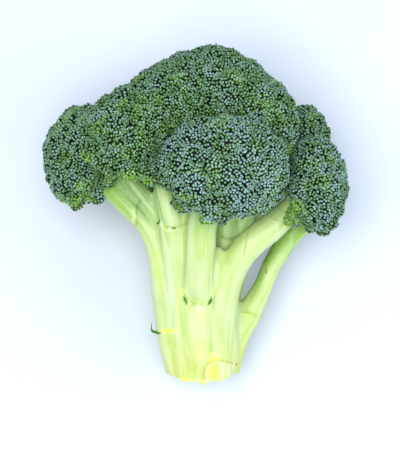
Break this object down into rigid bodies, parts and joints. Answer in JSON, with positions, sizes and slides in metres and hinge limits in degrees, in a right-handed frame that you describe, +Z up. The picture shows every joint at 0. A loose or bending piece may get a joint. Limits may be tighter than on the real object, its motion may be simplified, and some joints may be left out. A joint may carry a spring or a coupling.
{
  "type": "broccoli head",
  "caption": "Cut head of broccoli lying on its back: thick pale stalk with branches that fan out to a domed crown of tight green buds.",
  "frame": {"origin": "middle of the footprint box, on the surface that the head lies on", "axes": "+Y from the cut end of the stalk to the crown, +Z up out of the front of the head, +X to the right seen from above"},
  "size_m": [0.1492, 0.1614, 0.1153],
  "materials": {
    "stalk_skin": "satin, thin natural wax over pale green living skin",
    "flower_buds": "matt, dense granular buds with a blue-grey wax bloom",
    "leaf_stub": "satin dark green leaf base"
  },
  "bodies": {
    "root": {"stalk": "stalk_skin", "branch_front": "stalk_skin", "branch_left": "stalk_skin", "branch_right": "stalk_skin", "branch_top_left": "stalk_skin", "branch_front_left": "stalk_skin", "branch_rear_right": "stalk_skin", "branch_low_right": "stalk_skin", "branch_top": "stalk_skin", "branch_top_right": "stalk_skin", "branch_back": "stalk_skin", "branch_back_left": "stalk_skin", "branch_back_right": "stalk_skin", "branch_back_top": "stalk_skin", "floret_front": "flower_buds", "floret_left": "flower_buds", "floret_right": "flower_buds", "floret_top_left": "flower_buds", "floret_front_left": "flower_buds", "floret_rear_right": "flower_buds", "floret_low_right": "flower_buds", "floret_top": "flower_buds", "floret_top_right": "flower_buds", "floret_back": "flower_buds", "floret_back_left": "flower_buds", "floret_back_right": "flower_buds", "floret_back_top": "flower_buds", "leaf_stub_left": "leaf_stub", "leaf_stub_front_left": "leaf_stub", "leaf_stub_front_right": "leaf_stub", "leaf_stub_upper_left": "leaf_stub", "leaf_stub_upper_mid": "leaf_stub"}
  },
  "joints": []
}
